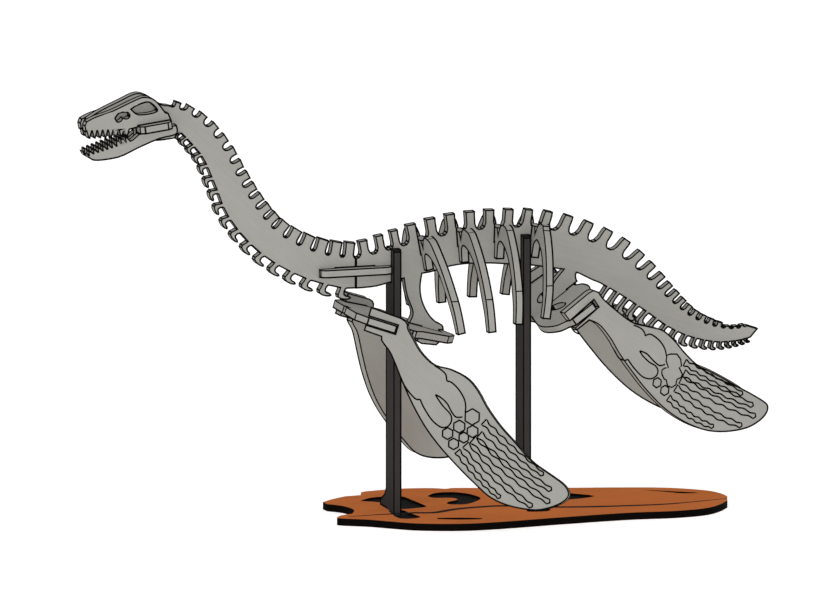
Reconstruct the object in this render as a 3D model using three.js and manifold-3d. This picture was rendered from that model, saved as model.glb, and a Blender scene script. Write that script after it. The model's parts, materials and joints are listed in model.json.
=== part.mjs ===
// Plesiosaur skeleton puzzle: flat plywood pieces that slot together, held up by two forked
// posts on a display base. Millimetres, +Z up, +X from the head to the tail, Y across.
import * as THREE from 'three';
import { mergeVertices } from 'three/addons/utils/BufferGeometryUtils.js';
import Module from 'manifold-3d';

const wasm = await Module();
wasm.setup();

// ---------------------------------------------------------------- driving dimensions
const SHEET = 3;              // plywood thickness of every piece
const FIT = 0.3;              // clearance on each side of a slot
const HALF = SHEET / 2;
const REACH = 60;             // length of a cutter that has to pass right through a piece

const NECK_END = -27.7;       // X of the butt joint between the neck plate and the body plate
const NECK_TEETH = 18;
const NECK_HOOKS = 17;
const TAIL_HOOKS = 17;

const POST_WIDTH = 10;
const POST_FOOT = 13;         // reach of a post's foot, which is on its right side only
const PRONG_GAP = HALF + FIT; // half width of a post's fork
const POSTS = [
  { name: 'post_front', x: -11.1, seat: 97.0, top: 111.0 },
  { name: 'post_rear', x: 43.8, seat: 100.8, top: 113.8 },
];

const RIB_LAP = 6;            // depth of the halving joint between a rib and the spine
const RIBS = [                // crossing point on the spine, lean of the lower end to the tail
  { x: 0.6, z: 114.4, lean: 10.5, span: 35.8, drop: 34 },
  { x: 16.9, z: 116.9, lean: 4.4, span: 36.2, drop: 36 },
  { x: 33.0, z: 117.6, lean: -2.0, span: 33.4, drop: 34.5 },
  { x: 48.9, z: 117.2, lean: -7.5, span: 29.8, drop: 33.4 },
];
const RIB_WIDTH = 5;          // width of a rib's arm at the shoulder
const RIB_TIP = 3;            // and at its lower end

const SPLICE = { x0: -43, x1: -13.0, z: 102.6, halfWidth: 4.8, lap: 7 };

const SKULL_OFFSET = SHEET + FIT;   // Y distance from the centre plate to each side plate
const LOCK = { x: -113.6, z: 167.2, length: 13.5, halfWidth: 7.6, rise: 6.8 };

const PECTORAL = { x: 2, z: 76, slope: -17.3 };
const PELVIC = { x: 55.7, z: 83.8, slope: 35.5 };
const FRONT_FLIPPER = { x: -19.4, y: 22.65, z: 83.5, splay: 4, yaw: 28, slot: 3.1 };
const REAR_FLIPPER = { x: 59.6, y: 32.55, z: 87.3, splay: -7, yaw: -10, slot: 5.3 };

const COLOURS = { bone: 0x9d9c97, post: 0x3b3937, base: 0xab5f32 };

// ---------------------------------------------------------------- frames and solids
const vec = (x, y, z) => new THREE.Vector3(x, y, z);
const deg = THREE.MathUtils.degToRad;
const lerp = THREE.MathUtils.lerp;

// A piece's own frame: its outline lies in (u, v) and its thickness is centred on u x v.
function frame(origin, u, v) {
  const w = new THREE.Vector3().crossVectors(u, v);
  return new THREE.Matrix4().makeBasis(u, v, w).setPosition(origin);
}

const profileFrame = (y) => frame(vec(0, y, 0), vec(1, 0, 0), vec(0, 0, 1));

function crossFrame(x, z, lean = 0) {
  const up = vec(-Math.sin(deg(lean)), 0, Math.cos(deg(lean)));
  return frame(vec(x, 0, z), vec(0, 1, 0), up);
}

const along = (slope) => vec(Math.cos(deg(slope)), 0, Math.sin(deg(slope)));

function girdleFrame({ x, z, slope }) {
  return frame(vec(x, 0, z), along(slope), vec(0, 1, 0));
}

function toSolid(geometry) {
  geometry.deleteAttribute('normal');
  geometry.deleteAttribute('uv');
  const merged = mergeVertices(geometry, 1e-4);
  return new wasm.Manifold(new wasm.Mesh({
    numProp: 3,
    vertProperties: Float32Array.from(merged.attributes.position.array),
    triVerts: Uint32Array.from(merged.index.array),
  }));
}

function toShape(outline, holes = []) {
  const shape = new THREE.Shape(outline.map(([u, v]) => new THREE.Vector2(u, v)));
  shape.holes = holes.map((hole) => new THREE.Path(hole.map(([u, v]) => new THREE.Vector2(u, v))));
  return shape;
}

function boxSolid([u0, u1], [v0, v1], [w0, w1]) {
  const box = new THREE.BoxGeometry(u1 - u0, v1 - v0, w1 - w0);
  box.translate((u0 + u1) / 2, (v0 + v1) / 2, (w0 + w1) / 2);
  return toSolid(box);
}

const finishes = {
  bone: { color: COLOURS.bone, roughness: 0.75, metalness: 0 },
  post: { color: COLOURS.post, roughness: 0.6, metalness: 0 },
  base: { color: COLOURS.base, roughness: 0.65, metalness: 0 },
};

const pieces = new Map();

function board(name, place, outline, { holes = [], finish = 'bone', thickness = SHEET } = {}) {
  const geometry = new THREE.ExtrudeGeometry(toShape(outline, holes), {
    depth: thickness,
    bevelEnabled: false,
  });
  geometry.translate(0, 0, -thickness / 2);
  pieces.set(name, { name, place, finish, solid: toSolid(geometry) });
}

// Removes a box, given in the frame `where`, from a piece.
function cut(name, where, u, v, w) {
  const piece = pieces.get(name);
  const local = piece.place.clone().invert().multiply(where);
  piece.solid = piece.solid.subtract(boxSolid(u, v, w).transform(local.elements));
}

// ---------------------------------------------------------------- outlines
const smooth = (points, steps) => new THREE.SplineCurve(
  points.map(([u, v]) => new THREE.Vector2(u, v)),
).getPoints(steps).map(({ x, y }) => [x, y]);

const mirrored = (points) => points.map(([u, v]) => [-u, v]).reverse();
const flipped = (points) => points.map(([u, v]) => [u, -v]).reverse();

function turned(points, angle, [u0, v0] = [0, 0]) {
  const c = Math.cos(deg(angle));
  const s = Math.sin(deg(angle));
  return points.map(([u, v]) => [u0 + c * u - s * v, v0 + s * u + c * v]);
}

function ellipse([u0, v0], [ru, rv], angle, steps = 20) {
  const ring = Array.from({ length: steps }, (_, i) => {
    const a = (2 * Math.PI * i) / steps;
    return [ru * Math.cos(a), rv * Math.sin(a)];
  });
  return turned(ring, angle, [u0, v0]);
}

// Local frame of an edge curve at a distance along it: out points away from the material.
function edgeFrame(curve, distance, side) {
  const k = THREE.MathUtils.clamp(distance / curve.getLength(), 0, 1);
  const p = curve.getPointAt(k);
  const t = curve.getTangentAt(k);
  return (a, n) => [p.x + t.x * a - t.y * n * side, p.y + t.y * a + t.x * n * side];
}

// Distances along an edge at which the repeated teeth sit; pitch(k) weighs the spacing.
function spaced(count, length, pitch) {
  const weights = Array.from({ length: count }, (_, i) => pitch((i + 0.5) / count));
  const total = weights.reduce((sum, w) => sum + w, 0);
  let walked = 0;
  return weights.map((w) => {
    const step = (w / total) * length;
    const middle = walked + step / 2;
    walked += step;
    return { middle, step };
  });
}

// A neural spine: a waisted tooth with a flared, flat top that leans to the tail. The gaps
// between neighbours end in a rounded bottom.
function spineTooth(at, step, height, waist, top, lean = 0) {
  const gap = (1 - waist) * step / 2;
  const depth = Math.min(gap * 1.3, height * 0.5);
  const round = [20, 50, 85].map(deg).map((t) => (
    [-step / 2 + gap * Math.sin(t), depth * (1 - Math.cos(t))]));
  const left = [...round, [-(waist * 0.4 + top * 0.1) * step, height * 0.8],
    [-top * step / 2, height]];
  const right = mirrored(left).map(([a, n]) => [a, n * 0.97]);
  return [...left, ...right].map(([a, n]) => at(a + lean * n, n));
}

// A ventral process: a stem that leans to the head and a foot that curls to the tail.
function hook(at, step, height) {
  return [[-0.2, 0], [-0.24, 0.3], [-0.3, 0.66], [-0.24, 0.9], [-0.06, 1.0], [0.16, 1.0],
    [0.34, 0.93], [0.4, 0.82], [0.32, 0.72], [0.14, 0.7], [0.04, 0.58], [0.02, 0.34],
    [0.08, 0.08], [0.14, 0]].map(([a, n]) => at(a * step, n * height));
}

function combEdge(curve, side, count, pitch, toothAt) {
  return spaced(count, curve.getLength(), pitch)
    .flatMap(({ middle, step }, i) => toothAt(edgeFrame(curve, middle, side), step, i / (count - 1)));
}

// Piecewise linear function through its stops.
const ramp = (stops) => (k) => {
  const next = Math.max(1, stops.findIndex(([at]) => at >= k));
  const [[k0, a], [k1, b]] = [stops[next - 1], stops[next]];
  return lerp(a, b, (k - k0) / (k1 - k0));
};

const edge = (points) => new THREE.SplineCurve(points.map(([x, z]) => new THREE.Vector2(x, z)));

// ---------------------------------------------------------------- spine plates
const neckDorsal = edge([[-105.6, 174.5], [-98.8, 171.7], [-90.6, 165.2], [-83.2, 155.1],
  [-77.6, 144.2], [-70.6, 132.2], [-61.8, 121.4], [-50.6, 114], [-38.8, 109.7], [NECK_END, 108]]);
const neckVentral = edge([[-102.6, 164.6], [-97.2, 158.9], [-91.9, 152], [-86.9, 140.5],
  [-82, 128.8], [-73.3, 117.4], [-62.4, 108.1], [-48.4, 100.6], [-35, 96.4], [-28.6, 95.7]]);
const neckPitch = ramp([[0, 3.9], [0.08, 6], [0.25, 6.5], [0.4, 5.7], [0.64, 5.4], [0.68, 6.7],
  [0.9, 6.7], [1, 5.3]]);
const hookPitch = ramp([[0, 2], [0.09, 4.4], [0.3, 6], [0.45, 6.2], [0.6, 7.3], [1, 8]]);

function neckOutline() {
  const crest = smooth([[-141.4, 171.3], [-136, 174.4], [-127.5, 178.1], [-121.8, 180.5],
    [-118.4, 180.6], [-114.8, 178.8], [-110.3, 175.8], [-106.6, 175]], 24);
  const teeth = combEdge(neckDorsal, 1, NECK_TEETH, neckPitch, (at, step, k) => (
    spineTooth(at, step, lerp(2.5, 6.2, k ** 0.8), lerp(0.46, 0.63, k), lerp(0.5, 0.67, k))));
  const hooks = combEdge(neckVentral, -1, NECK_HOOKS, hookPitch, (at, step, k) => (
    hook(at, step, lerp(3.2, 4.6, k))));
  const tongue = smooth([[-104.5, 161.6], [-112, 161], [-120.6, 162.2]], 6);
  return [...crest, ...teeth, [NECK_END, 108.4], [NECK_END, 95.7],
    ...hooks.reverse(), ...tongue, [-120.8, 167.8], [-139.6, 168.4], [-141.4, 169.6]];
}

const bodyDorsal = edge([[-27, 107.8], [-14.5, 110.3], [0, 113.4], [16.9, 116.2],
  [33, 117.1], [49, 116.2], [64.4, 112.3], [81.3, 104.7], [93, 95.7], [104.3, 84.7],
  [114.1, 76.5], [124.2, 71.8], [132, 70.4], [137.3, 70.9]]);
const tailVentral = edge([[77.3, 91.3], [85.1, 86.5], [95.2, 79.5], [104.3, 72.8],
  [113.3, 68.2], [124.2, 65.3], [133, 65.2], [139, 66.2]]);
const bodyPitch = ramp([[0, 8], [0.05, 6.7], [0.09, 6.6], [0.12, 8.4], [0.2, 8.1], [0.29, 7.8],
  [0.33, 7.6], [0.36, 7.8], [0.4, 8.6], [0.44, 8.7], [0.47, 8.5], [0.6, 5.8], [0.64, 4.9],
  [0.7, 4.3], [0.9, 3.8], [1, 2.6]]);
const bodyHeight = ramp([[0, 6.5], [0.07, 7.3], [0.14, 8.2], [0.18, 8.2], [0.22, 7.8], [0.3, 7.4],
  [0.48, 7.3], [0.6, 5.6], [0.69, 4.4], [0.8, 3], [0.89, 2.2], [0.92, 0.9], [1, 0.8]]);
const bodyTop = ramp([[0, 0.47], [0.26, 0.46], [0.33, 0.38], [0.5, 0.38], [0.7, 0.46], [1, 0.54]]);
const bodyLean = ramp([[0, 0], [0.26, 0.03], [0.33, 0.12], [0.5, 0.16], [0.7, 0.12], [1, 0.1]]);
const chevronPitch = ramp([[0, 5], [0.3, 5.4], [0.47, 4.8], [0.65, 3.7], [0.85, 2.9], [1, 2.1]]);
const BODY_TEETH = 29;

function shoulderLeg() {
  const front = smooth([[-7.2, 98.6], [-5.9, 91.4], [-3.4, 84.2], [-5.4, 79.6]], 12);
  const rear = smooth([[9.4, 76.4], [8.9, 78.4], [5.9, 80.2], [2.9, 83.6], [0.4, 88.9],
    [-0.4, 94.6], [0.4, 100.2]], 18);
  return [...front, [-2, 79], [-2, 72.6], [0.2, 71.3], [6.4, 70.4], [7.6, 71.4], [7.6, 76.6],
    ...rear];
}

function bodyOutline() {
  const teeth = combEdge(bodyDorsal, 1, BODY_TEETH, bodyPitch, (at, step, k) => (
    spineTooth(at, step, bodyHeight(k), lerp(0.42, 0.5, k), bodyTop(k), bodyLean(k))));
  const chevrons = combEdge(tailVentral, -1, TAIL_HOOKS, chevronPitch, (at, step, k) => (
    hook(at, step, lerp(9.5, 1.8, k ** 0.6))));
  const belly = smooth([[0.4, 100.2], [5, 100.8], [11.9, 102.5], [19.5, 103.2], [28.6, 102.9],
    [36.9, 102.1], [46.7, 101.1], [60.5, 98.6]], 20);
  const lobe = smooth([[60.5, 98.6], [56, 93.2], [54.4, 88], [54.2, 84]], 8);
  const lobeRear = smooth([[68.4, 93.6], [66.4, 93], [65.5, 95], [65.8, 97], [68.6, 95.7],
    [72, 93.9], [75.6, 92.3]], 12);
  const under = smooth([[NECK_END, 95.6], [-19.8, 95.9], [-13.5, 97.2], [-7.2, 98.6]], 8);
  return [[NECK_END, 107.8], ...teeth, [138.2, 71.2], [142.4, 69.7], [139.4, 66.4],
    ...chevrons.reverse(), ...lobeRear.reverse(), ...lobe.reverse(), ...belly.reverse(),
    ...shoulderLeg().reverse(), ...under.reverse()];
}

// ---------------------------------------------------------------- skull
const UPPER_GUM = edge([[-142.6, 167], [-134, 166.9], [-124.4, 166.8]]);
const LOWER_GUM = edge([[-141.6, 157.2], [-134, 159.1], [-124, 162]]);

function fangs(curve, side, count, [first, last], slant) {
  return combEdge(curve, side, count, () => 1, (at, step, k) => {
    const height = lerp(first, last, k);
    return [at(-step * 0.46, 0), at(-step * 0.2 + slant, height * 0.94),
      at(step * 0.02 + slant, height), at(step * 0.46, 0)];
  });
}

function skullOutline() {
  const top = smooth([[-142.6, 170.9], [-138.9, 172.6], [-131.7, 174.7], [-122.5, 178.5],
    [-118.2, 179.7], [-113.6, 178.2], [-109.2, 172.8]], 24);
  return [...top, [-108, 172.5], [-106.8, 169.6], [-121, 167.6], [-122.6, 167.2],
    ...fangs(UPPER_GUM, -1, 8, [3, 2.8], 0.2).reverse(), [-142.9, 166.8], [-143.3, 169.2]];
}

function jawOutline() {
  const chin = smooth([[-142.3, 157.5], [-141.2, 155.8], [-138.8, 154.8], [-133.4, 155],
    [-127.7, 156], [-120.5, 159.1], [-111.8, 162.3], [-105.6, 163.4], [-104.1, 164.8],
    [-104.6, 167.4]], 24);
  return [...chin.reverse(), ...fangs(LOWER_GUM, 1, 9, [1.4, 2.4], -0.3), [-123, 162.4],
    [-119.8, 165]].reverse();
}

const EYE = smooth([[-123.7, 175], [-121.3, 172.9], [-118.5, 172.6], [-114.6, 173],
  [-112.5, 174.1], [-114.9, 176.8], [-116.7, 177.6], [-118.8, 177.3], [-122, 176.2],
  [-123.7, 175]], 24).slice(0, -1);
const NOSTRIL = smooth([[-130.5, 171.7], [-129.5, 170.1], [-128, 170.5], [-127.2, 171.5],
  [-125.6, 171.2], [-124.3, 172.1], [-124.9, 173.6], [-127, 174], [-129.1, 173.5],
  [-130.5, 171.7]], 24).slice(0, -1);

// ---------------------------------------------------------------- ribs and posts
function ribOutline({ span, drop }) {
  const wide = span / 36;
  const long = drop / 36;
  const outer = smooth([[7.8, 0.4], [10.2, 2.2], [14, 2.2], [18 * wide, 1], [22.4 * wide, -2.8],
    [28 * wide, -9], [32.4 * wide, -16.4], [35.2 * wide, -24 * long], [36 * wide, -30 * long],
    [span, -drop]], 28);
  const inner = smooth([[span - RIB_TIP, -drop], [(35.8 - RIB_TIP - 0.6) * wide, -29 * long],
    [(34.6 - RIB_WIDTH) * wide, -22 * long], [26.6 * wide, -14.6], [21 * wide, -8.6],
    [14 * wide, -5.2], [8.4, -4.8], [5.4, -6.6], [4.8, -9]], 28);
  const half = [[3.6, 0], [5.5, -3.6], ...outer, ...inner, [4.6, -12.6], [PRONG_GAP, -12.6],
    [PRONG_GAP, -RIB_LAP]];
  return [...half, ...mirrored(half)];
}

function postOutline({ seat, top }) {
  const half = POST_WIDTH / 2;
  const foot = [[half, SHEET + FIT], [POST_FOOT, SHEET + FIT], [POST_FOOT, 5.4],
    [half + 2.2, 8.4], [half, 11.5]];
  const prong = [[half, top - 0.8], [half - 0.6, top], [PRONG_GAP, top], [PRONG_GAP, seat]];
  return [[half, FIT], ...foot, ...prong, ...mirrored(prong), [-half, FIT]];
}

// ---------------------------------------------------------------- girdles and flippers
// Half outlines run along the sheet from the head end, at y > 0.
const wholeSheet = (half) => [...flipped(half).slice(0, -1), ...half];

function pectoralOutline() {
  const brow = [[-35.6, 0], [-35.6, 8], [-35.4, 14.8], [-31.6, 20.4]];
  return wholeSheet([...brow, [-19.8, 26.6], [-11.9, 25.2], [-7.9, 19.7], [7.3, 9.7], [12.1, 1.6],
    [12.1, 0]]);
}

function pelvicOutline() {
  const brow = smooth([[-9.3, 0], [-10, 4.7], [-11.1, 13.5], [-10.3, 20.7], [-7.2, 28.6],
    [-3.8, 31.7], [-1.2, 35]], 18);
  const heel = smooth([[11, 30.8], [13, 24], [14.6, 17.4], [15, 12.8], [14.2, 7.4],
    [12.6, 4.2], [12.1, 0]], 16);
  return wholeSheet([...brow, [9.3, 35], [9.3, 30.8], ...heel]);
}

// Rim of each paddle from its shoulder round the tip to the armpit.
const FRONT_RIM = [[7.6, -0.7], [10.9, 2.5], [15.3, 6.5], [21.9, 9.8], [29, 9.6], [36.6, 11],
  [42.4, 14.6], [48.1, 20], [55.4, 25.5], [63.2, 30.1], [72, 35.3], [80.8, 38.2], [87.6, 40.6],
  [90.5, 43.7], [89.2, 47.2], [84.8, 51], [78.6, 54], [68.6, 55.3], [60.4, 54.4], [53.2, 51.3],
  [43.7, 46.4], [34, 40.7], [25.8, 34.7], [17.7, 27], [10.6, 18.9], [4, 11], [0.1, 8]];
const REAR_RIM = [[9, 1.4], [11.2, 10.1], [14, 18.1], [18.5, 24], [22.7, 29.6], [24.5, 36.3],
  [25.3, 44], [27.3, 53.3], [31.1, 62.5], [36.4, 71.5], [41.6, 82.8], [42.1, 87], [38, 89],
  [30.4, 87.9], [22, 83.1], [15, 76.7], [9.5, 68.2], [5.3, 57.7], [3, 45.9], [2.1, 35.1],
  [1.8, 25], [2.2, 16.7], [1.5, 9], [-0.7, 4.6]];

function flipperOutline(rim, { front, back }) {
  return [...front, ...smooth([front.at(-1), ...rim, back[0]], 96).slice(1, -1), ...back];
}

const FRONT_HEAD = {
  front: [[-9.4, -4.7], [3.6, -4.1], [5.6, -3.5], [6.9, -2.4]],
  back: [[-1.5, 6.7], [-1.9, 5.3], [-9.4, 5]],
};
const REAR_HEAD = {
  front: [[-8.4, -5.7], [5.2, -5.2], [7.5, -4.6], [8.9, -2.4]],
  back: [[-1.3, 4.1], [-7.9, 3.7]],
};

const swung = (from, towards, angle) => from.clone().multiplyScalar(Math.cos(deg(angle)))
  .addScaledVector(towards, Math.sin(deg(angle)));

// A flipper stands square on its girdle, then yaws about the girdle's normal and splays outward.
function flipperFrame({ x, y, z, splay, yaw }, slope, side) {
  const forward = along(slope);
  const outward = vec(0, side, 0);
  const normal = vec(-Math.sin(deg(slope)), 0, Math.cos(deg(slope)));
  const slide = swung(forward, outward, yaw);
  const lateral = swung(outward, forward, -yaw);
  const down = swung(normal.negate(), lateral, splay);
  return frame(vec(x, side * y, z), slide, down);
}

// ---------------------------------------------------------------- base
const BASE_OUTLINE = [
  ...smooth([[-34.4, -4.4], [-36.8, -7], [-37.2, -10.9], [-27.1, -17], [-19.5, -23.7],
    [-10.3, -31], [5.9, -36.8], [22.5, -37.5], [50.4, -34.8], [78, -33.2], [97, -34.8],
    [111, -32.6], [119.2, -26], [124.6, -18.4]], 48),
  [125.4, -14.4],
  ...smooth([[127.2, -9.6], [126.4, -2.1], [122.1, 6.1], [109.2, 15.6], [91.3, 21.8],
    [71.5, 27], [48, 33.6], [28, 40], [23, 39.6], [17.3, 42.8], [5.8, 45.2], [-4.3, 44.4],
    [-11, 43], [-12.9, 39.6]], 44),
  [-13.5, 36.2],
  ...smooth([[-20.8, 35.4], [-28, 30.6], [-33.2, 25.7]], 6),
  ...smooth([[-32.9, 21], [-28.2, 15.4], [-26.2, 8], [-27.1, 2.3], [-29.4, -2.4]], 12),
];
const BASE_POCKETS = {
  temple: [[-18.2, 23.5], [-13, 28.6], [-7.5, 30.2], [0.7, 29.3], [2.6, 19.5], [3.9, 9],
    [3.7, 3.6], [-2, 1.8], [-7.5, 1.8], [-10.6, 8], [-11.1, 17.8]],
  cheek: [[-13.7, -1.1], [-8, 0.2], [-6.6, -8], [-5.4, -18.4], [-14.1, -18.4]],
  socket: [[11.2, 26.1], [16, 31.6], [22.9, 31.8], [28.1, 27], [30.6, 18], [28.4, 11.4],
    [21.1, 4.4], [14.3, 6.1], [15.2, 11], [20.4, 14.6], [19.6, 19.4], [12.4, 21.6]],
  jawSlit: [[0.6, -21.4], [9, -23.4], [17.2, -26.8], [16.6, -29.4], [8, -27.6], [0.8, -24.2]],
  nasal: [[67.7, 15.8], [65, 9], [63.5, 2], [76, 6.3]],
  snout: [[98.6, 12.6], [105.4, 7.6], [111.7, 1.6], [118.4, 1.2], [112, 5.4], [104, 10.6]],
  tooth: [[41.8, -12.8], [49.8, -15.2], [47.9, -20.2], [39.9, -18.9]],
};
const POCKET_DEPTH = 1;

function engrave(name, outline, depth) {
  const piece = pieces.get(name);
  const geometry = new THREE.ExtrudeGeometry(toShape(outline), { depth, bevelEnabled: false });
  geometry.translate(0, 0, HALF - POCKET_DEPTH);
  piece.solid = piece.solid.subtract(toSolid(geometry));
}

// ---------------------------------------------------------------- assembly
function buildBase() {
  board('base_plate', frame(vec(0, 0, HALF), vec(1, 0, 0), vec(0, 1, 0)), BASE_OUTLINE,
    { finish: 'base' });
  for (const pocket of Object.values(BASE_POCKETS)) {
    const rim = smooth([...pocket, pocket[0]], pocket.length * 3).slice(0, -1);
    engrave('base_plate', rim, POCKET_DEPTH + 1);
  }
  for (const post of POSTS) {
    board(post.name, crossFrame(post.x, 0), postOutline(post), { finish: 'post' });
    cut('base_plate', crossFrame(post.x, 0), [-POST_WIDTH / 2 - FIT, POST_WIDTH / 2 + FIT],
      [-1, SHEET + 1], [-HALF - FIT, HALF + FIT]);
  }
}

function buildSpine() {
  const spine = profileFrame(0);
  board('neck_plate', spine, neckOutline());
  board('body_tail_plate', spine, bodyOutline());
  const joint = [-HALF - FIT, HALF + FIT];
  cut('body_tail_plate', spine, [NECK_END - 1, NECK_END + FIT], [90, 112], [-HALF - 1, HALF + 1]);

  const { x0, x1, z, halfWidth, lap } = SPLICE;
  const corner = [[x0, halfWidth - 1.4], [x0 + 1.2, halfWidth - 0.5], [x0 + 2.6, halfWidth],
    [x1 - 2.6, halfWidth], [x1, halfWidth - 1.2]];
  const spliceFrame = frame(vec(0, 0, z), vec(1, 0, 0), vec(0, 1, 0));
  board('spine_splice', spliceFrame, [...corner, ...flipped(corner)]);
  cut('spine_splice', spine, [x0 - 1, x0 + lap], [z - 4, z + 4], joint);
  cut('spine_splice', spine, [x1 - lap, x1 + 1], [z - 4, z + 4], joint);
  const web = [x0 + lap - FIT, x1 - lap + FIT];
  for (const name of ['neck_plate', 'body_tail_plate']) {
    cut(name, spine, web, [z - HALF - FIT, z + HALF + FIT], [-HALF - 1, HALF + 1]);
  }
}

function buildSkull() {
  for (const [side, y] of [['left', -SKULL_OFFSET], ['right', SKULL_OFFSET]]) {
    board(`skull_${side}`, profileFrame(y), skullOutline(), { holes: [EYE, NOSTRIL] });
    board(`jaw_${side}`, profileFrame(y), jawOutline());
  }
  const lockFrame = frame(vec(LOCK.x, 0, LOCK.z), along(LOCK.rise), vec(0, 1, 0));
  const [l, h] = [LOCK.length / 2, LOCK.halfWidth];
  const corner = [[l, h - 1.4], [l - 1.8, h], [-l + 1.8, h], [-l, h - 1.4]];
  board('skull_lock', lockFrame, [...corner, ...flipped(corner)]);
  for (const name of ['skull_left', 'skull_right', 'jaw_left', 'jaw_right', 'neck_plate']) {
    cut(name, lockFrame, [-l - FIT, l + FIT], [-REACH, REACH], [-HALF - FIT, HALF + FIT]);
  }
}

function buildRibs() {
  RIBS.forEach((rib, i) => {
    const place = crossFrame(rib.x, rib.z, rib.lean);
    board(`rib_${i + 1}`, place, ribOutline(rib));
    cut('body_tail_plate', place, [-REACH, REACH], [-RIB_LAP - FIT, 12], [-HALF - FIT, HALF + FIT]);
  });
}

// Cuts the girdle's thickness away from a spine plate except where a tab passes through it.
function seatOnGirdle(plate, girdle, place, tabs, [start, end], depth) {
  const ends = [start, ...tabs.flat(), end];
  for (let i = 0; i < ends.length; i += 2) {
    cut(plate, place, [ends[i], ends[i + 1]], [-REACH, REACH], [-depth, HALF + FIT]);
  }
  for (const [u0, u1] of tabs) {
    cut(girdle, place, [u0 - FIT, u1 + FIT], [-HALF - FIT, HALF + FIT], [-HALF - 1, HALF + 1]);
  }
}

function buildGirdles() {
  const pectoral = girdleFrame(PECTORAL);
  board('pectoral_girdle', pectoral, pectoralOutline());
  const neckTab = [-38.4, -34.2];
  seatOnGirdle('neck_plate', 'pectoral_girdle', pectoral, [neckTab], [-44, -30], 2.4 * HALF);
  seatOnGirdle('body_tail_plate', 'pectoral_girdle', pectoral, [[-2.4, 6.6]], [-12, 14], REACH / 4);
  const front = POSTS[0];
  cut('pectoral_girdle', crossFrame(front.x, 0),
    [-POST_WIDTH / 2 - 2 * FIT, POST_WIDTH / 2 + 2 * FIT], [40, 140], [-HALF - 2 * FIT, HALF + 2 * FIT]);

  const pelvic = girdleFrame(PELVIC);
  const holes = [1, -1].map((side) => ellipse([0.4, side * 10.6], [5.2, 2.4], side * 70));
  board('pelvic_girdle', pelvic, pelvicOutline(), { holes });
  seatOnGirdle('body_tail_plate', 'pelvic_girdle', pelvic, [[0.6, 8.6]], [-12, 16.4], REACH / 4);
}

// The flipper's slot is open to the head and holds the girdle's edge. Behind the slot the girdle
// stops short of the flipper's inner face, so the flipper pulls off sideways.
function hang(flipper, girdle, { slot, splay }, side) {
  const blade = pieces.get(flipper).place;
  const sheet = pieces.get(girdle).place;
  const lift = vec(slot, 0, 0).applyMatrix4(blade).applyMatrix4(sheet.clone().invert()).z;
  const middle = lift / Math.cos(deg(splay));
  const open = (HALF + FIT) / Math.cos(deg(splay)) + HALF * Math.abs(Math.tan(deg(splay)));
  const outside = side > 0 ? [-HALF - FIT, REACH] : [-REACH, HALF + FIT];
  cut(girdle, blade, [slot - FIT / 2, slot + 3 * SHEET], [-2 * SHEET, 2 * SHEET], outside);
  cut(flipper, blade, [-REACH, slot + FIT / 2], [middle - open, middle + open], [-SHEET, SHEET]);
}

function buildFlippers() {
  const sets = [
    { kind: 'front', size: FRONT_FLIPPER, girdle: 'pectoral_girdle', slope: PECTORAL.slope,
      rim: FRONT_RIM, head: FRONT_HEAD },
    { kind: 'rear', size: REAR_FLIPPER, girdle: 'pelvic_girdle', slope: PELVIC.slope,
      rim: REAR_RIM, head: REAR_HEAD },
  ];
  for (const { kind, size, girdle, slope, rim, head } of sets) {
    for (const [side, y] of [['left', -1], ['right', 1]]) {
      const name = `${kind}_flipper_${side}`;
      board(name, flipperFrame(size, slope, y), flipperOutline(rim, head));
      hang(name, girdle, size, y);
    }
  }
}

buildBase();
buildSpine();
buildSkull();
buildRibs();
buildGirdles();
buildFlippers();

// ---------------------------------------------------------------- scene graph
function toMesh({ name, place, finish, solid }) {
  const { vertProperties, triVerts } = solid.getMesh();
  const geometry = new THREE.BufferGeometry();
  geometry.setAttribute('position', new THREE.BufferAttribute(Float32Array.from(vertProperties), 3));
  geometry.setIndex(new THREE.BufferAttribute(Uint32Array.from(triVerts), 1));
  geometry.computeVertexNormals();
  const mesh = new THREE.Mesh(geometry, new THREE.MeshStandardMaterial(finishes[finish]));
  mesh.name = name;
  mesh.applyMatrix4(place);
  return mesh;
}

const model = new THREE.Group();
model.name = 'plesiosaur_puzzle';
for (const piece of pieces.values()) model.add(toMesh(piece));

export default model;
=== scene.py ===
"""Looks for the plesiosaur skeleton puzzle: stained plywood with charred laser-cut edges."""
import json
import math

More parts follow.
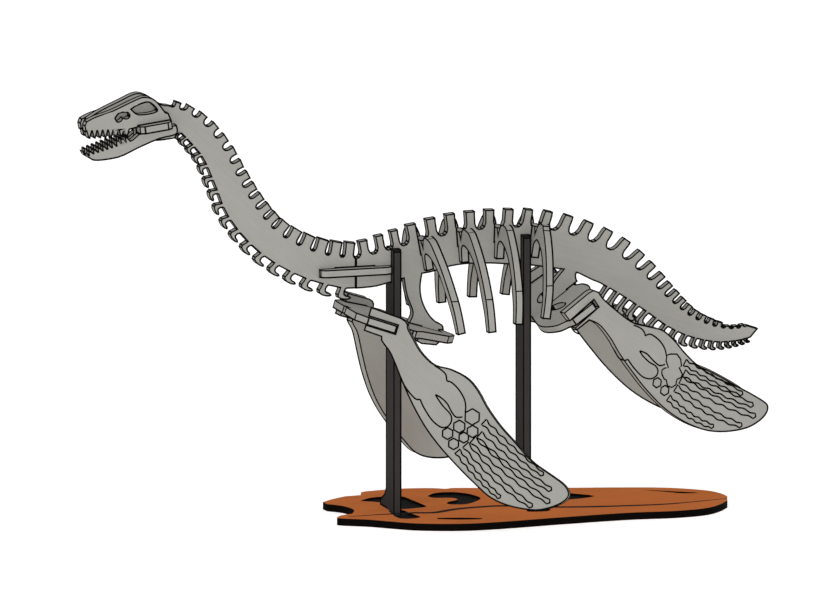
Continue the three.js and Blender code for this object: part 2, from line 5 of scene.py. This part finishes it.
import bmesh
import bpy
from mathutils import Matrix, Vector


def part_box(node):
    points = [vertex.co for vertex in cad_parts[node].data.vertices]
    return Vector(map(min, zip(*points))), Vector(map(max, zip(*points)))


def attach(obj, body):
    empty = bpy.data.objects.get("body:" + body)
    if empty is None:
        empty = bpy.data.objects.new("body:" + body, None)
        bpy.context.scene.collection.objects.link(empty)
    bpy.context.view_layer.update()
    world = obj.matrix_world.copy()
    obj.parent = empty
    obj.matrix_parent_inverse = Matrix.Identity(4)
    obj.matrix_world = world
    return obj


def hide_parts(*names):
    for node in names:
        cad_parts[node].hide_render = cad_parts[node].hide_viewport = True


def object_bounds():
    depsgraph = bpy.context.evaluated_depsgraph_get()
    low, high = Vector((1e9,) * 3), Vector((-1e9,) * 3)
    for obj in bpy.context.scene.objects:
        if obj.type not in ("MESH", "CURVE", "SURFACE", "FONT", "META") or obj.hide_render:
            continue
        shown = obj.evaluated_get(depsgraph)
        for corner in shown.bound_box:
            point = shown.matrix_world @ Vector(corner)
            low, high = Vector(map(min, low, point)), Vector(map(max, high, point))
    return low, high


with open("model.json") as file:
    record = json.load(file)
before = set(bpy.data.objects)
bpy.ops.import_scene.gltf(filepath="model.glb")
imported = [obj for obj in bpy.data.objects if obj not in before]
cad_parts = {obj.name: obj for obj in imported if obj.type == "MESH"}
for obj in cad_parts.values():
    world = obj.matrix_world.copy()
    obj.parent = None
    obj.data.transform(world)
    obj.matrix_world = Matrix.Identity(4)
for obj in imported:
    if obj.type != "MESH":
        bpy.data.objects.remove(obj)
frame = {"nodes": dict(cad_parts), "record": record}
cad_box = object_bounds()

MM = 0.001
SHEET = 3 * MM               # thickness of the plywood
CORE = 0.52 * MM             # half the thickness of the sheet's middle ply
CHAR_WIDTH = 0.39 * MM       # char left by the laser on each side of a cut edge
CHAR_BEAD = 0.25 * MM        # how far that char swells out over the edge itself
CHAR_LIFT = 0.015 * MM       # how far other char stands off the wood
SCORE_WIDTH = 0.66 * MM      # width of a scored line on a flipper
RIB_MARK_WIDTH = 0.5 * MM    # width of a scored line across a rib
GROOVE_WIDTH = 3.2 * MM      # width of the groove across the base
SHARP = math.radians(26)     # a bend sharper than this is an edge
FACE, EDGE, CHAR = 0, 1, 2   # a piece's materials: the sheet's face, its cut edge, the char

BODY_OF = {
    node: body
    for body, nodes in frame["record"]["behaviour"]["bodies"].items()
    for node in nodes
}
SLOT_OF = {s["node"]: s["material_slot"] for s in frame["record"]["subparts"]}


# ---------------------------------------------------------------- materials
def linear(r, g, b):
    """A colour given in 0-255 steps, as the shader takes it."""
    def one(c):
        c /= 255
        return c / 12.92 if c <= 0.04045 else ((c + 0.055) / 1.055) ** 2.4
    return (one(r), one(g), one(b), 1.0)


class Nodes:
    """A new material, and a short way to write its nodes."""

    def __init__(self, name):
        self.material = bpy.data.materials.new(name)
        self.material.use_nodes = True
        self.tree = self.material.node_tree
        self.shader = self.tree.nodes["Principled BSDF"]

    def add(self, kind, **values):
        node = self.tree.nodes.new(kind)
        for key, value in values.items():
            if key in node.inputs:
                node.inputs[key].default_value = value
            else:
                setattr(node, key, value)
        return node

    def link(self, a, b):
        self.tree.links.new(a, b)

    def scaled(self, vector, scale):
        node = self.add("ShaderNodeVectorMath", operation="MULTIPLY")
        node.inputs[1].default_value = scale
        self.link(vector, node.inputs[0])
        return node.outputs[0]

    def noise(self, vector, detail=3.0, rough=0.55):
        node = self.add("ShaderNodeTexNoise", Scale=1.0, Detail=detail, Roughness=rough)
        self.link(vector, node.inputs["Vector"])
        return node.outputs["Fac"]

    def spread(self, value, low, high, span=(0.3, 0.7)):
        node = self.add("ShaderNodeMapRange")
        node.inputs["From Min"].default_value = span[0]
        node.inputs["From Max"].default_value = span[1]
        node.inputs["To Min"].default_value = low
        node.inputs["To Max"].default_value = high
        self.link(value, node.inputs["Value"])
        return node.outputs["Result"]

    def maths(self, operation, a, b):
        node = self.add("ShaderNodeMath", operation=operation)
        for socket, value in zip(node.inputs, (a, b)):
            if hasattr(value, "is_linked"):
                self.link(value, socket)
            else:
                socket.default_value = value
        return node.outputs[0]


def wood(name, colour, streak, cloud, roughness, ply=0.0, figure=0.0):
    """Stained plywood. The sheet's own directions come from the mesh's grain attribute, in metres:
    along the grain, across it, and through the sheet. The streak, cloud, ply and figure are how
    far the fibres, the stain, the middle ply and the growth rings move the tone."""
    m = Nodes(name)
    grain = m.add("ShaderNodeAttribute", attribute_name="grain").outputs["Vector"]
    fibre = m.noise(m.scaled(grain, (90, 1500, 900)), 4, 0.6)
    pores = m.noise(m.scaled(grain, (420, 5200, 2600)), 2, 0.5)
    clouds = m.noise(m.scaled(grain, (38, 90, 90)), 2, 0.5)
    tone = m.maths("MULTIPLY", m.spread(fibre, 1 - streak, 1 + streak),
                   m.spread(clouds, 1 - cloud, 1 + cloud))
    tone = m.maths("MULTIPLY", tone, m.spread(pores, 1 - 0.4 * streak, 1 + 0.25 * streak))
    if figure:
        rings = m.noise(m.scaled(grain, (16, 210, 210)), 3, 0.55)
        bands = m.maths("FRACT", m.maths("MULTIPLY", rings, 9.0), 0.0)
        tone = m.maths("MULTIPLY", tone, m.spread(bands, 1 - figure, 1 + figure * 0.6, (0, 1)))
    if ply:
        split = m.add("ShaderNodeSeparateXYZ")
        m.link(grain, split.inputs[0])
        depth = m.maths("ABSOLUTE", split.outputs[2], 0.0)
        core = m.maths("LESS_THAN", depth, CORE)
        tone = m.maths("MULTIPLY", tone, m.spread(core, 1 + ply, 1 - ply, (0, 1)))
    mix = m.add("ShaderNodeMix", data_type="RGBA", blend_type="MULTIPLY")
    mix.inputs["Factor"].default_value = 1.0
    mix.inputs[6].default_value = colour
    grey = m.add("ShaderNodeCombineColor")
    for socket in grey.inputs:
        m.link(tone, socket)
    m.link(grey.outputs[0], mix.inputs[7])
    m.link(mix.outputs[2], m.shader.inputs["Base Color"])
    m.link(m.spread(fibre, roughness - 0.05, roughness + 0.06), m.shader.inputs["Roughness"])
    m.shader.inputs["Specular IOR Level"].default_value = 0.0
    bump = m.add("ShaderNodeBump", Strength=0.35, Distance=0.04 * MM)
    m.link(m.maths("ADD", fibre, m.maths("MULTIPLY", pores, 0.5)), bump.inputs["Height"])
    m.link(bump.outputs[0], m.shader.inputs["Normal"])
    return m.material


def charred(name, colour):
    """Wood burnt by the laser: sooty, with a little brown showing through."""
    m = Nodes(name)
    grain = m.add("ShaderNodeAttribute", attribute_name="grain").outputs["Vector"]
    soot = m.noise(m.scaled(grain, (700, 1400, 1400)), 3, 0.6)
    ramp = m.add("ShaderNodeValToRGB")
    ramp.color_ramp.elements[0].position = 0.35
    ramp.color_ramp.elements[0].color = tuple(0.55 * c for c in colour[:3]) + (1.0,)
    ramp.color_ramp.elements[1].position = 0.75
    ramp.color_ramp.elements[1].color = tuple(1.5 * c for c in colour[:3]) + (1.0,)
    m.link(soot, ramp.inputs[0])
    m.link(ramp.outputs[0], m.shader.inputs["Base Color"])
    m.link(m.spread(soot, 0.82, 0.97), m.shader.inputs["Roughness"])
    m.shader.inputs["Specular IOR Level"].default_value = 0.03
    return m.material


# The stains, as linear colours.
BONE = (0.302, 0.296, 0.273, 1.0)
POST = (0.0400, 0.0370, 0.0355, 1.0)
BASE = (0.495, 0.1450, 0.0420, 1.0)
SOOT = linear(8, 6, 5)

# Each slot's face, cut edge and char.
FINISH = {
    "bone_wood": (
        wood("bone_face", BONE, 0.035, 0.03, 0.76),
        wood("bone_edge", BONE, 0.03, 0.02, 0.82, ply=0.02),
        charred("bone_char", SOOT),
    ),
    "post_wood": (
        wood("post_face", POST, 0.07, 0.05, 0.62),
        wood("post_edge", POST, 0.05, 0.04, 0.68, ply=0.04),
        charred("post_char", linear(9, 8, 8)),
    ),
    "base_wood": (
        wood("base_face", BASE, 0.05, 0.04, 0.6, figure=0.05),
        charred("base_edge", SOOT),
        charred("base_char", SOOT),
    ),
}


# ---------------------------------------------------------------- sheets
def sheet_axes(bm):
    """The sheet's middle, and its directions along the grain, across it and through it."""
    areas = {}
    for face in bm.faces:
        n = face.normal
        key = next((k for k in areas if abs(k.dot(n)) > 0.999), None)
        if key is None:
            key = n.copy().freeze()
            areas[key] = 0.0
        areas[key] += face.calc_area()
    through = Vector(max(areas, key=areas.get))
    points = [v.co for v in bm.verts]
    middle = sum(points, Vector()) / len(points)
    depth = [p.dot(through) for p in points]
    middle += through * ((max(depth) + min(depth)) / 2 - middle.dot(through))
    u = through.orthogonal().normalized()
    v = through.cross(u)
    suu = sum((p - middle).dot(u) ** 2 for p in points)
    svv = sum((p - middle).dot(v) ** 2 for p in points)
    suv = sum((p - middle).dot(u) * (p - middle).dot(v) for p in points)
    turn = 0.5 * math.atan2(2 * suv, suu - svv)
    along = u * math.cos(turn) + v * math.sin(turn)
    return middle, along, through.cross(along), through


def merged(mesh):
    """The solid's faces with the triangles of each flat face joined up."""
    bm = bmesh.new()
    bm.from_mesh(mesh)
    bmesh.ops.remove_doubles(bm, verts=bm.verts, dist=0.0005 * MM)
    bmesh.ops.dissolve_limit(
        bm, angle_limit=math.radians(0.6), verts=bm.verts, edges=bm.edges)
    bm.normal_update()
    return bm


def is_sharp(edge):
    """True for a cut edge or a corner of the sheet."""
    return len(edge.link_faces) == 2 and edge.calc_face_angle(0.0) > SHARP


def swelling(vert, bead):
    """Where the char over an edge swells to: about one bead's height off every face that meets."""
    normals = []
    for face in vert.link_faces:
        if all(face.normal.dot(n) < 0.97 for n in normals):
            normals.append(face.normal.copy())
    off = Vector()
    for _ in range(12):
        for n in normals:
            off += n * ((bead - off.dot(n)) * 0.6)
    if off.length > 2 * bead:
        off = off.normalized() * 2 * bead
    return vert.co + off


def char_beads(bm, width, bead, lift):
    """A low ridge of char along every cut edge, mitred where edges meet."""
    peak = {}
    quads = []
    for face in bm.faces:
        n = face.normal
        loops = list(face.loops)
        sharp = [is_sharp(l.edge) for l in loops]
        if not any(sharp):
            continue
        run = [(l.link_loop_next.vert.co - l.vert.co).normalized() for l in loops]
        inward = [n.cross(d) for d in run]
        # How far the char's inner line is from each corner. The least divisors keep a mitre short.
        shift = []
        for i in range(len(loops)):
            before, here = sharp[i - 1], sharp[i]
            if before and here:
                total = inward[i - 1] + inward[i]
                shift.append(total * (width / max(0.4, 1 + inward[i - 1].dot(inward[i]))))
            elif before:
                shift.append(run[i] * (width / max(0.6, run[i].dot(inward[i - 1]))))
            elif here:
                shift.append(run[i - 1] * (-width / max(0.6, -run[i - 1].dot(inward[i]))))
            else:
                shift.append(Vector())
        for i, loop in enumerate(loops):
            if not sharp[i]:
                continue
            j = (i + 1) % len(loops)
            ends = (loop.vert, loop.link_loop_next.vert)
            for v in ends:
                if v not in peak:
                    peak[v] = swelling(v, bead)
            a, b = (v.co for v in ends)
            quads.append([peak[ends[0]], peak[ends[1]], b + shift[j] + n * lift,
                          a + shift[i] + n * lift])
    return quads


def line_strip(points, normal, width, lift, closed=False, taper=False):
    """A flat line through points, lying on a face with that normal. A taper narrows its ends."""
    count = len(points)
    rails = []
    for i, p in enumerate(points):
        a = points[i - 1] if i or closed else p
        b = points[(i + 1) % count] if i < count - 1 or closed else p
        side = normal.cross((b - a).normalized())
        wide = width / 2
        if taper:
            wide *= min(1.0, 0.25 + 3.0 * min(i, count - 1 - i) / count)
        rails.append((p - side * wide + normal * lift, p + side * wide + normal * lift))
    last = count if closed else count - 1
    quads = []
    for i in range(last):
        (a0, a1), (b0, b1) = rails[i], rails[(i + 1) % count]
        quads.append([a0, b0, b1, a1])
    return quads


def curve(points, steps):
    """A smooth curve through the points."""
    pts = [Vector(p) for p in points]
    pts = [pts[0], *pts, pts[-1]]
    out = []
    for p0, p1, p2, p3 in zip(pts, pts[1:], pts[2:], pts[3:]):
        for k in range(steps):
            t = k / steps
            out.append(0.5 * ((2 * p1) + (p2 - p0) * t + (2 * p0 - 5 * p1 + 4 * p2 - p3) * t * t
                              + (3 * p1 - p0 - 3 * p2 + p3) * t ** 3))
    out.append(pts[-1])
    return out


# ---------------------------------------------------------------- scored lines
def girdle_axes(slope):
    """The directions along a girdle that slopes up by this many degrees, and up from it."""
    s = math.radians(slope)
    return Vector((math.cos(s), 0, math.sin(s))), Vector((-math.sin(s), 0, math.cos(s)))


class Blade:
    """The left flipper's outer face: a runs along the slot, b down the blade, in millimetres."""

    # The girdle's slope, the blade's splay from it and the slot's yaw are in degrees.
    def __init__(self, origin, slope, splay, yaw):
        forward, normal = girdle_axes(slope)
        y, s = math.radians(yaw), math.radians(splay)
        out = Vector((0, -1, 0))
        self.a = forward * math.cos(y) + out * math.sin(y)
        lateral = out * math.cos(y) - forward * math.sin(y)
        self.b = lateral * math.sin(s) - normal * math.cos(s)
        self.out = lateral * math.cos(s) + normal * math.sin(s)
        self.origin = Vector(origin) * MM + self.out * (SHEET / 2)

    def at(self, p, level):
        """A point on the outer face, which lies at that level along the face's normal."""
        q = self.origin + (self.a * p[0] + self.b * p[1]) * MM
        return q + self.out * (level - q.dot(self.out))


BLADES = {
    "front": Blade((-19.4, -22.65, 83.5), -17.3, 4, 28),
    "rear": Blade((59.6, -32.53, 87.3), 35.5, -7, -10),
}

# Bones scored on each outer face, in the blade's (a, b). A ring of carpals is given by each one's
# middle and radius, and a digit by its two ends with its middle between, then its half width.
SCORES = {
    "front": {
        "curves": [
            [(10.7, 19), (14, 22.3), (18.7, 25.2), (20.8, 24.9)],
            [(20.8, 24.9), (23.2, 27.6), (27.5, 31.2), (31.1, 32.9), (33.4, 33), (35.2, 31.6),
             (35.6, 29), (34.3, 26.9), (30.5, 24.7), (27.6, 22.5), (26.2, 21.2)],
            [(26.2, 21.2), (28.9, 21.8), (31.9, 23.3), (34.6, 25.9), (37, 27.4), (39.5, 26.6)],
            [(22.3, 10.1), (25.5, 11), (27.8, 12.2), (29, 14.6)],
            [(29, 14.6), (31.1, 14.6), (34.8, 16.5), (37.9, 19.3), (39.4, 21.9), (40, 24.4)],
        ],
        "rings": [],
        "carpals": [(43.3, 25.4, 3.3), (39.4, 30.7, 2.6), (45.2, 31, 2.5), (35.7, 34.8, 2.4),
                    (42.5, 34.4, 2.2), (39.3, 38.1, 2.3)],
        "digits": [
            [(48.5, 25.9), (62.8, 33.1), (78.2, 39.3), 1.15],
            [(48.3, 31.3), (65.2, 38.8), (83.2, 44.2), 1.25],
            [(46.3, 34.1), (64.4, 42.6), (84.1, 49.2), 1.3],
            [(44.1, 37), (60.6, 46.4), (77.7, 52.9), 1.25],
            [(41.7, 40.5), (52.8, 47.7), (64, 53.3), 1.1],
        ],
    },
    "rear": {
        "curves": [
            [(0.8, 21.6), (0.6, 25.8), (2.1, 28.3), (3.5, 28.9)],
            [(3.5, 28.9), (3.6, 33.4), (4.6, 39.1), (7, 42.3), (9.8, 43), (11.5, 41.8),
             (11.8, 39.5), (10.4, 36.1), (9.6, 32), (9.7, 29.6)],
            [(9.7, 29.6), (11.5, 32.7), (12.3, 37.3), (13.3, 40.5), (15.6, 41.8)],
            [(13.6, 19.1), (15.4, 22.3), (15.7, 24.9), (15.2, 26.2)],
            [(15.2, 26.2), (17.5, 27.3), (19.1, 31.7), (19.2, 36.1), (18, 39.5)],
        ],
        "rings": [
            [(18.3, 39.3), (19.9, 39.9), (22.2, 41.9), (22.3, 44.8), (21, 47.3), (19.8, 47.1),
             (19.4, 50.2), (18.2, 51), (16.3, 50.4), (14.6, 51.9), (12.5, 51.6), (11.4, 49.8),
             (12.3, 47.3), (11.8, 46.6), (12.1, 44.1), (13.1, 42.8), (14.5, 42.9), (16, 43.9),
             (16.7, 41)],
        ],
        "carpals": [(8.4, 45.6, 2.1), (9.3, 50.5, 2.1)],
        "digits": [
            [(23, 47.1), (28.8, 59.9), (36.2, 75.2), 1.15],
            [(20.2, 50.5), (27.7, 65.5), (37.3, 82.2), 1.25],
            [(17.5, 51.7), (25.7, 69.5), (35.6, 86.6), 1.3],
            [(13.8, 53), (19.8, 70.2), (28.5, 85.6), 1.25],
            [(8.9, 54.1), (12.3, 66.4), (18.1, 77.4), 1.1],
        ],
    },
}


def hexagon(u, v, r, turn=14):
    """A carpal: the corners of a hexagon turned by that many degrees."""
    angles = [math.radians(60 * k + turn) for k in range(6)]
    return [(u + r * math.cos(a), v + r * math.sin(a)) for a in angles]


def joined_rings(carpals, steps=8):
    """The outline of the carpals as one cluster: each one's lines inside another are left out."""
    runs = []
    for u, v, r in carpals:
        corners = hexagon(u, v, r)
        line = []
        for (u0, v0), (u1, v1) in zip(corners, corners[1:] + corners[:1]):
            line += [(u0 + (u1 - u0) * t / steps, v0 + (v1 - v0) * t / steps)
                     for t in range(steps)]
        line.append(line[0])
        run = []
        for p in line:
            inside = any((p[0] - a) ** 2 + (p[1] - b) ** 2 < (0.9 * c) ** 2
                         for a, b, c in carpals if (a, b) != (u, v))
            if not inside:
                run.append(p)
                continue
            if len(run) > 1:
                runs.append(run)
            run = []
        if len(run) > 1:
            runs.append(run)
    return runs


def digit(start, middle, end, half, joints=6, steps=48):
    """A digit's outline: two wavy sides, square at the wrist and rounded at the tip."""
    axis = [Vector((p[0], p[1], 0)) for p in (start, middle, end)]
    sides = ([], [])
    for k in range(steps + 1):
        t = k / steps
        p = axis[0] * (1 - t) ** 2 + (2 * axis[1] - (axis[0] + axis[2]) / 2) * (2 * t * (1 - t))
        p += axis[2] * t * t
        d = (axis[1] - axis[0]) * (1 - t) + (axis[2] - axis[1]) * t
        side = Vector((-d.y, d.x, 0)).normalized()
        wide = half * (1 - 0.25 * t) * (1 + 0.3 * math.cos(2 * math.pi * joints * t))
        wide *= min(1.0, 1.12 * math.sqrt(max(0.0, 1 - max(0.0, (t - 0.95) / 0.05) ** 2)))
        sides[0].append(p + side * wide)
        sides[1].append(p - side * wide)
    return [(p.x, p.y) for p in sides[0] + sides[1][::-1]]


def blade_scores(kind, points):
    """The scored bones of one outer face, as quads on the left flipper with these corners."""
    blade, score = BLADES[kind], SCORES[kind]
    level = max(p.dot(blade.out) for p in points)
    quads = []

    def draw(line, closed):
        placed = [blade.at(p, level) for p in line]
        quads.extend(line_strip(placed, blade.out, SCORE_WIDTH, CHAR_LIFT, closed))

    for line in score["curves"]:
        draw([(p.x, p.y) for p in curve([(u, v, 0) for u, v in line], 5)], False)
    for line in score["rings"]:
        draw(line, True)
    for run in joined_rings(score["carpals"]):
        draw(run, False)
    for start, middle, end, half in score["digits"]:
        draw(digit(start, middle, end, half), True)
    return quads


def across(point):
    """The same point on the other side of the model."""
    return Vector((point.x, -point.y, point.z))


def cut_line(face, axis, value):
    """The two points where the face's outline crosses the plane at that value along an axis."""
    corners = [v.co for v in face.verts]
    ends = []
    for a, b in zip(corners, corners[1:] + corners[:1]):
        if (a[axis] - value) * (b[axis] - value) < 0:
            ends.append(a.lerp(b, (value - a[axis]) / (b[axis] - a[axis])))
    return ends if len(ends) == 2 else None


# How far out from the middle each rib's shoulder is, and how high above an arm's lower end its
# mark is. Nothing is marked nearer the spine than the root. In millimetres.
RIB_SHOULDER = {"rib_1": 14, "rib_2": 16.3, "rib_3": 16.5, "rib_4": 15.5}
RIB_MARK_HEIGHT = 13.4
RIB_ROOT = 8


def rib_marks(bm, through, reach):
    """Two short scored lines across the outer edge of each rib arm: one above its lower end, and
    one at the shoulder, that far out from the middle."""
    low = min(v.co.z for v in bm.verts)
    quads = []
    for face in bm.faces:
        n, middle = face.normal, face.calc_center_median()
        if abs(n.dot(through)) > 0.1 or n.y * middle.y < 0 or abs(middle.y) < RIB_ROOT * MM:
            continue
        planes = [(2, low + RIB_MARK_HEIGHT * MM)] if abs(n.y) > 0.3 else []
        if n.z > 0.3:
            planes += [(1, math.copysign(reach * MM, middle.y))]
        for axis, value in planes:
            ends = cut_line(face, axis, value)
            if ends and abs((ends[1] - ends[0]).normalized().dot(through)) > 0.9:
                quads += line_strip(ends, n, RIB_MARK_WIDTH, 2 * CHAR_LIFT)
    return quads


# A groove scored across the base, from its front edge to its tail, in millimetres.
BASE_GROOVE = [
    (-32.8, -8.5), (-21.4, -7.6), (-13.4, -7.7), (-5, -8), (3.3, -9.8), (13, -5.3), (23.5, -3.4),
    (35.2, -4), (53, -12.2), (71.1, -16.6), (94.9, -19.2), (108.4, -18), (125.6, -14.4),
]


def base_scores(top):
    """The base's groove, as quads on its top face."""
    points = curve([(x * MM, y * MM, top) for x, y in BASE_GROOVE], 6)
    return line_strip(points, Vector((0, 0, 1)), GROOVE_WIDTH, CHAR_LIFT, taper=True)


# ---------------------------------------------------------------- pieces
def material_index(node, face, through, top):
    """The sheet's face or its cut edge. The floors of the base's pockets are charred too."""
    if node != "base_plate":
        return FACE if abs(face.normal.dot(through)) > 0.9 else EDGE
    if face.normal.z < -0.9:
        return FACE
    level = face.calc_center_median().z > top - 0.2 * MM
    return FACE if face.normal.z > 0.9 and level else EDGE


def scored_lines(node, bm, through, top):
    """The lines that the laser scored on a piece, as quads."""
    if "flipper" in node:
        kind = node.split("_")[0]
        if node.endswith("left"):
            return blade_scores(kind, [v.co for v in bm.verts])
        quads = blade_scores(kind, [across(v.co) for v in bm.verts])
        return [[across(p) for p in reversed(quad)] for quad in quads]
    if node.startswith("rib_"):
        return rib_marks(bm, through, RIB_SHOULDER[node])
    return base_scores(top) if node == "base_plate" else []


def make_piece(node, cad):
    """A piece in its materials, with its char and scored lines, in place of its CAD node."""
    bm = merged(cad.data)
    middle, along, sideways, through = sheet_axes(bm)
    if abs(through.z) > 0.9:
        along = Vector((1, 0, 0)) - through * through.x
        along.normalize()
        sideways = through.cross(along)
    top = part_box(node)[1].z
    quads = [] if node == "base_plate" else char_beads(bm, CHAR_WIDTH, CHAR_BEAD, CHAR_LIFT)
    quads += scored_lines(node, bm, through, top)
    for face in bm.faces:
        face.material_index = material_index(node, face, through, top)
        face.smooth = False
    for quad in quads:
        face = bm.faces.new([bm.verts.new(p) for p in quad])
        face.material_index = CHAR
        face.smooth = False
    # Every piece starts somewhere else in the grain, as if cut from another part of the sheet.
    grain = bm.verts.layers.float_vector.new("grain")
    offset = Vector((0.013 * len(node), 0.007 * sum(map(ord, node)) % 0.3, 0))
    for v in bm.verts:
        d = v.co - middle
        v[grain] = Vector((d.dot(along), d.dot(sideways), d.dot(through))) + offset
    mesh = bpy.data.meshes.new("wood_" + node)
    bm.to_mesh(mesh)
    bm.free()
    for material in FINISH[SLOT_OF[node]]:
        mesh.materials.append(material)
    piece = bpy.data.objects.new("wood_" + node, mesh)
    bpy.context.scene.collection.objects.link(piece)
    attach(piece, BODY_OF[node])
    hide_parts(node)


for node in sorted(frame["nodes"]):
    make_piece(node, frame["nodes"][node])


# ---------------------------------------------------------------- stage
TENT = 0.22                  # strength of the light from all round
KEY = 0.5                    # strength of the key light
KEY_SHADOW = 0.15            # share of the key light that casts shadows
KEY_FROM = (-0.04, -0.57, 0.82)  # direction that the key light comes from
FILLS = (                    # where each shadowless fill comes from, and its strength
    ((0.4, -0.9, -0.2), 0.33),
    ((-0.95, -0.1, 0.2), 0.39),
    ((0.5, 0.85, 0.25), 0.45),
    ((0, 0.1, -1), 0.1),
)
LIGHT_SPREAD = 60            # degrees that each light spans, which softens its shadows
FLOOR_HALF = 6.0             # half the width of the floor, in metres
FLOOR_GAP = 0.05 * MM        # between the floor and the underside of the base
VIEW_WIDTH = 0.34008         # what the camera takes in across, in metres
VIEW_CENTRE = (4.7, 15.2, 86.0)  # the point in the middle of the view, in millimetres
VIEW_AZIMUTH = 17.0          # degrees from straight on, towards the head
VIEW_ELEVATION = 10.5        # degrees above level
VIEW_DISTANCE = 1.6          # metres


def make_floor():
    """A plain white floor, with a little glow so that it stays as pale as the surround."""
    m = Nodes("floor")
    m.shader.inputs["Base Color"].default_value = (0.93, 0.93, 0.93, 1)
    m.shader.inputs["Emission Color"].default_value = (1, 1, 1, 1)
    m.shader.inputs["Emission Strength"].default_value = 0.3
    m.shader.inputs["Roughness"].default_value = 0.9
    m.shader.inputs["Specular IOR Level"].default_value = 0.1
    bm = bmesh.new()
    bmesh.ops.create_grid(bm, x_segments=1, y_segments=1, size=FLOOR_HALF)
    mesh = bpy.data.meshes.new("floor")
    bm.to_mesh(mesh)
    bm.free()
    mesh.materials.append(m.material)
    floor = bpy.data.objects.new("floor", mesh)
    floor.location.z = cad_box[0].z - FLOOR_GAP
    bpy.context.scene.collection.objects.link(floor)


def add_sun(name, towards, strength, shadow):
    """A broad light from that direction."""
    sun = bpy.data.objects.new(name, bpy.data.lights.new(name, "SUN"))
    sun.data.energy = strength * math.pi
    sun.data.angle = math.radians(LIGHT_SPREAD)
    sun.data.use_shadow = shadow
    sun.rotation_mode = "QUATERNION"
    sun.rotation_quaternion = Vector(towards).to_track_quat("Z", "Y")
    bpy.context.scene.collection.objects.link(sun)


def make_light():
    """A white tent: even light from all round, and a soft key from above the front. Most of the
    tent's light comes from four shadowless fills, which keeps the gaps between pieces open."""
    world = bpy.data.worlds.new("studio")
    world.use_nodes = True
    background = world.node_tree.nodes["Background"]
    background.inputs["Color"].default_value = (1, 1, 1, 1)
    background.inputs["Strength"].default_value = TENT
    bpy.context.scene.world = world
    add_sun("key", KEY_FROM, KEY * KEY_SHADOW, True)
    add_sun("key_open", KEY_FROM, KEY * (1 - KEY_SHADOW), False)
    for i, (towards, strength) in enumerate(FILLS):
        add_sun(f"fill_{i}", towards, strength, False)


def make_camera():
    """A camera without perspective, looking from the front left and a little above."""
    data = bpy.data.cameras.new("camera")
    data.type = "ORTHO"
    data.ortho_scale = VIEW_WIDTH
    data.clip_start, data.clip_end = 0.01, 20
    camera = bpy.data.objects.new("camera", data)
    bpy.context.scene.collection.objects.link(camera)
    azimuth, elevation = math.radians(VIEW_AZIMUTH), math.radians(VIEW_ELEVATION)
    back = Vector((-math.sin(azimuth) * math.cos(elevation),
                   -math.cos(azimuth) * math.cos(elevation), math.sin(elevation)))
    camera.location = Vector(VIEW_CENTRE) * MM + back * VIEW_DISTANCE
    camera.rotation_mode = "QUATERNION"
    camera.rotation_quaternion = (-back).to_track_quat("-Z", "Y")
    bpy.context.scene.camera = camera


make_floor()
make_light()
make_camera()
bpy.context.scene.view_settings.view_transform = "Standard"
bpy.context.scene.view_settings.look = "None"
